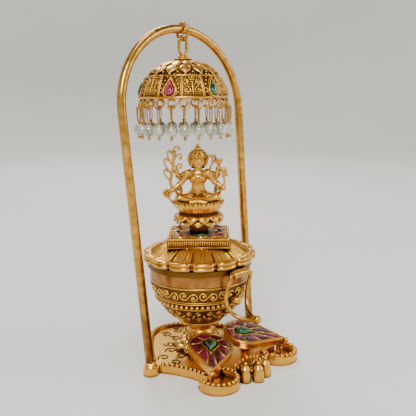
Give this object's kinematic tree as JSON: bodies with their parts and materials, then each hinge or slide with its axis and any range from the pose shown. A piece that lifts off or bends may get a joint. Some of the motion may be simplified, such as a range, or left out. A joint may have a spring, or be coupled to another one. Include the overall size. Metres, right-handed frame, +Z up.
{
  "type": "miniature shrine with hanging dome",
  "caption": "Footed bowl with a hinged lotus lid carrying a seated figure, under a wire arch with a hanging pearl-fringed dome, on a stone-set base.",
  "frame": {"origin": "on the bowl's axis, on the surface the base rests on", "axes": "+Z up; -Y is the front, with the hasp and the plaques; the arch's legs stand at -X and +X"},
  "size_m": [0.0574, 0.0595, 0.1181],
  "materials": {
    "antique_gold": "cast, oxidised in the recesses and relieved bright on the high spots",
    "polished_wire": "polished round wire",
    "brushed_band": "brushed, slightly copper coloured",
    "pearl": "glossy pearl coating on a bead, gold pin and loop",
    "ruby_glass": "polished faceted stone on foil",
    "maroon_glass": "polished flat stone on foil",
    "emerald_glass": "polished domed stone on foil"
  },
  "bodies": {
    "base": {"base_plate": "antique_gold", "base_bead_border": "antique_gold", "base_curls": "antique_gold", "front_ornament": "antique_gold", "left_plaque": "antique_gold", "right_plaque": "antique_gold", "plaque_rubies": "maroon_glass", "plaque_emeralds": "emerald_glass", "foot_rosette": "antique_gold", "foot_screw": "polished_wire", "bowl_neck": "antique_gold", "bowl": "antique_gold", "bowl_band": "brushed_band", "ball_stud": "polished_wire", "bowl_hinge_ears": "antique_gold", "hinge_pin": "polished_wire", "arch_wire": "polished_wire", "arch_solder_feet": "polished_wire"},
    "lid": {"lid_disc": "antique_gold", "lid_petals": "antique_gold", "plinth": "antique_gold", "plinth_rubies": "ruby_glass", "plinth_emeralds": "emerald_glass", "lotus_seat": "antique_gold", "figure": "antique_gold", "lid_hinge_ear": "antique_gold", "hasp_barrel": "polished_wire"},
    "hasp": {"hasp_loop": "polished_wire"},
    "hanger": {"hanger_ring": "polished_wire"},
    "dome": {"dome_eye": "polished_wire", "dome_cap": "antique_gold", "dome_shell": "antique_gold", "dome_bezels": "antique_gold", "dome_rubies": "ruby_glass", "dome_emeralds": "emerald_glass", "dome_rim_rings": "antique_gold"},
    "drop_01": {"pearl_drop_01": "pearl"},
    "drop_02": {"pearl_drop_02": "pearl"},
    "drop_03": {"pearl_drop_03": "pearl"},
    "drop_04": {"pearl_drop_04": "pearl"},
    "drop_05": {"pearl_drop_05": "pearl"},
    "drop_06": {"pearl_drop_06": "pearl"},
    "drop_07": {"pearl_drop_07": "pearl"},
    "drop_08": {"pearl_drop_08": "pearl"},
    "drop_09": {"pearl_drop_09": "pearl"},
    "drop_10": {"pearl_drop_10": "pearl"},
    "drop_11": {"pearl_drop_11": "pearl"},
    "drop_12": {"pearl_drop_12": "pearl"},
    "drop_13": {"pearl_drop_13": "pearl"},
    "drop_14": {"pearl_drop_14": "pearl"},
    "drop_15": {"pearl_drop_15": "pearl"},
    "drop_16": {"pearl_drop_16": "pearl"},
    "drop_17": {"pearl_drop_17": "pearl"},
    "drop_18": {"pearl_drop_18": "pearl"},
    "drop_19": {"pearl_drop_19": "pearl"},
    "drop_20": {"pearl_drop_20": "pearl"},
    "drop_21": {"pearl_drop_21": "pearl"},
    "drop_22": {"pearl_drop_22": "pearl"}
  },
  "joints": [
    {"name": "lid_open", "type": "hinge", "parent": "base", "child": "lid", "pos_m": [0, 0.0196, 0.0326], "axis": [-1, 0, 0], "range_deg": [0, 18]},
    {"name": "hasp_swing", "type": "hinge", "parent": "lid", "child": "hasp", "pos_m": [0, -0.0202, 0.0339], "axis": [-1, 0, 0], "range_deg": [0, 120]},
    {"name": "ring_swing", "type": "hinge", "parent": "base", "child": "hanger", "pos_m": [0.0016, 0.0084, 0.11535], "axis": [1, 0, 0], "range_deg": [-4, 4]},
    {"name": "dome_sway", "type": "hinge", "parent": "hanger", "child": "dome", "pos_m": [0.0016, 0.0084, 0.1118], "axis": [0, 1, 0], "range_deg": [-4, 4]},
    {"name": "drop_01_swing", "type": "hinge", "parent": "dome", "child": "drop_01", "pos_m": [0.00389, -0.00754, 0.08865], "axis": [-0.9898, -0.1423, 0], "range_deg": [-4, 20]},
    {"name": "drop_02_swing", "type": "hinge", "parent": "dome", "child": "drop_02", "pos_m": [0.00829, -0.00625, 0.08865], "axis": [-0.9096, -0.4154, 0], "range_deg": [-4, 20]},
    {"name": "drop_03_swing", "type": "hinge", "parent": "dome", "child": "drop_03", "pos_m": [0.01215, -0.00377, 0.08865], "axis": [-0.7557, -0.6549, 0], "range_deg": [-4, 20]},
    {"name": "drop_04_swing", "type": "hinge", "parent": "dome", "child": "drop_04", "pos_m": [0.01515, -0.00031, 0.08865], "axis": [-0.5406, -0.8413, 0], "range_deg": [-4, 20]},
    {"name": "drop_05_swing", "type": "hinge", "parent": "dome", "child": "drop_05", "pos_m": [0.01705, 0.00386, 0.08865], "axis": [-0.2817, -0.9595, 0], "range_deg": [-4, 20]},
    {"name": "drop_06_swing", "type": "hinge", "parent": "dome", "child": "drop_06", "pos_m": [0.0177, 0.0084, 0.08865], "axis": [0, -1, 0], "range_deg": [-4, 20]},
    {"name": "drop_07_swing", "type": "hinge", "parent": "dome", "child": "drop_07", "pos_m": [0.01705, 0.01294, 0.08865], "axis": [0.2817, -0.9595, 0], "range_deg": [-4, 20]},
    {"name": "drop_08_swing", "type": "hinge", "parent": "dome", "child": "drop_08", "pos_m": [0.01515, 0.01711, 0.08865], "axis": [0.5406, -0.8413, 0], "range_deg": [-4, 20]},
    {"name": "drop_09_swing", "type": "hinge", "parent": "dome", "child": "drop_09", "pos_m": [0.01215, 0.02057, 0.08865], "axis": [0.7557, -0.6549, 0], "range_deg": [-4, 20]},
    {"name": "drop_10_swing", "type": "hinge", "parent": "dome", "child": "drop_10", "pos_m": [0.00829, 0.02305, 0.08865], "axis": [0.9096, -0.4154, 0], "range_deg": [-4, 20]},
    {"name": "drop_11_swing", "type": "hinge", "parent": "dome", "child": "drop_11", "pos_m": [0.00389, 0.02434, 0.08865], "axis": [0.9898, -0.1423, 0], "range_deg": [-4, 20]},
    {"name": "drop_12_swing", "type": "hinge", "parent": "dome", "child": "drop_12", "pos_m": [-0.00069, 0.02434, 0.08865], "axis": [0.9898, 0.1423, 0], "range_deg": [-4, 20]},
    {"name": "drop_13_swing", "type": "hinge", "parent": "dome", "child": "drop_13", "pos_m": [-0.00509, 0.02305, 0.08865], "axis": [0.9096, 0.4154, 0], "range_deg": [-4, 20]},
    {"name": "drop_14_swing", "type": "hinge", "parent": "dome", "child": "drop_14", "pos_m": [-0.00895, 0.02057, 0.08865], "axis": [0.7557, 0.6549, 0], "range_deg": [-4, 20]},
    {"name": "drop_15_swing", "type": "hinge", "parent": "dome", "child": "drop_15", "pos_m": [-0.01195, 0.01711, 0.08865], "axis": [0.5406, 0.8413, 0], "range_deg": [-4, 20]},
    {"name": "drop_16_swing", "type": "hinge", "parent": "dome", "child": "drop_16", "pos_m": [-0.01385, 0.01294, 0.08865], "axis": [0.2817, 0.9595, 0], "range_deg": [-4, 20]},
    {"name": "drop_17_swing", "type": "hinge", "parent": "dome", "child": "drop_17", "pos_m": [-0.0145, 0.0084, 0.08865], "axis": [0, 1, 0], "range_deg": [-4, 20]},
    {"name": "drop_18_swing", "type": "hinge", "parent": "dome", "child": "drop_18", "pos_m": [-0.01385, 0.00386, 0.08865], "axis": [-0.2817, 0.9595, 0], "range_deg": [-4, 20]},
    {"name": "drop_19_swing", "type": "hinge", "parent": "dome", "child": "drop_19", "pos_m": [-0.01195, -0.00031, 0.08865], "axis": [-0.5406, 0.8413, 0], "range_deg": [-4, 20]},
    {"name": "drop_20_swing", "type": "hinge", "parent": "dome", "child": "drop_20", "pos_m": [-0.00895, -0.00377, 0.08865], "axis": [-0.7557, 0.6549, 0], "range_deg": [-4, 20]},
    {"name": "drop_21_swing", "type": "hinge", "parent": "dome", "child": "drop_21", "pos_m": [-0.00509, -0.00625, 0.08865], "axis": [-0.9096, 0.4154, 0], "range_deg": [-4, 20]},
    {"name": "drop_22_swing", "type": "hinge", "parent": "dome", "child": "drop_22", "pos_m": [-0.00069, -0.00754, 0.08865], "axis": [-0.9898, 0.1423, 0], "range_deg": [-4, 20]}
  ]
}
